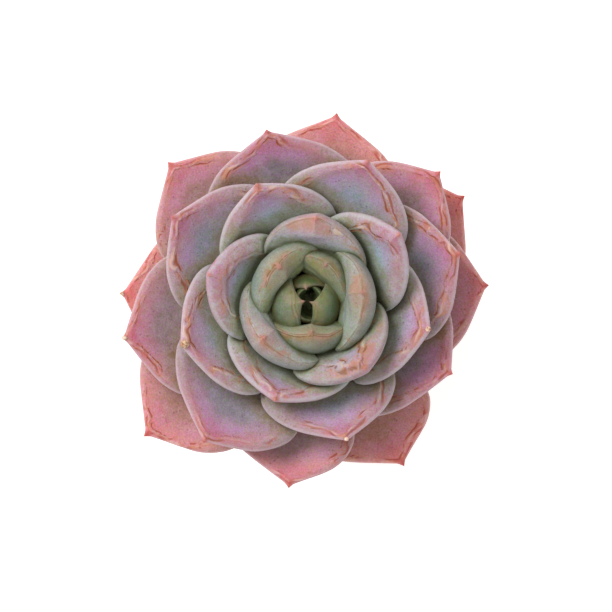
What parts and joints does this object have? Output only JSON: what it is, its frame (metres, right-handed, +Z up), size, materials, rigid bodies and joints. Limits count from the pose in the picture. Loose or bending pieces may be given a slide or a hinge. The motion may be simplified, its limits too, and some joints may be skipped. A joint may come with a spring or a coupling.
{
  "type": "potted echeveria",
  "caption": "Rosette succulent with thick pointed mauve and coral leaves on a short stem, growing in soil in a plain tapered clay pot.",
  "frame": {"origin": "centre of the circle that the pot's foot makes on the surface it stands on", "axes": "+Z up along the pot's axis; +X and +Y are the right and the top of a picture taken from straight above"},
  "size_m": [0.0927, 0.0938, 0.1063],
  "materials": {
    "leaf_coral": "waxy matt skin, coral pink with redder rubbed ridges and tips",
    "leaf_mauve": "waxy matt skin, grey mauve with pink bevels and orange-brown rubbed ridges",
    "leaf_green": "thick pale blue-green wax with brown rubbed marks",
    "heart_green": "young waxy skin, olive green",
    "stem_skin": "green-brown stem with dry leaf scars",
    "potting_soil": "crumbly dark potting mix with pale grit",
    "terracotta": "unglazed fired clay, matt, with faint pale lime bloom"
  },
  "bodies": {
    "root": {"leaf_01": "leaf_coral", "leaf_02": "leaf_coral", "leaf_03": "leaf_coral", "leaf_04": "leaf_coral", "leaf_05": "leaf_coral", "leaf_06": "leaf_coral", "leaf_07": "leaf_coral", "leaf_08": "leaf_coral", "leaf_09": "leaf_coral", "leaf_10": "leaf_coral", "leaf_11": "leaf_coral", "leaf_12": "leaf_mauve", "leaf_13": "leaf_mauve", "leaf_14": "leaf_mauve", "leaf_15": "leaf_mauve", "leaf_16": "leaf_mauve", "leaf_17": "leaf_mauve", "leaf_18": "leaf_mauve", "leaf_19": "leaf_mauve", "leaf_20": "leaf_mauve", "leaf_21": "leaf_mauve", "leaf_22": "leaf_mauve", "leaf_23": "leaf_green", "leaf_24": "leaf_green", "leaf_25": "leaf_green", "leaf_26": "leaf_green", "leaf_27": "leaf_green", "leaf_28": "leaf_green", "leaf_29": "leaf_green", "leaf_30": "leaf_green", "leaf_31": "leaf_green", "leaf_32": "leaf_green", "leaf_33": "leaf_green", "heart": "heart_green", "stem": "stem_skin", "soil": "potting_soil", "pot": "terracotta"}
  },
  "joints": []
}
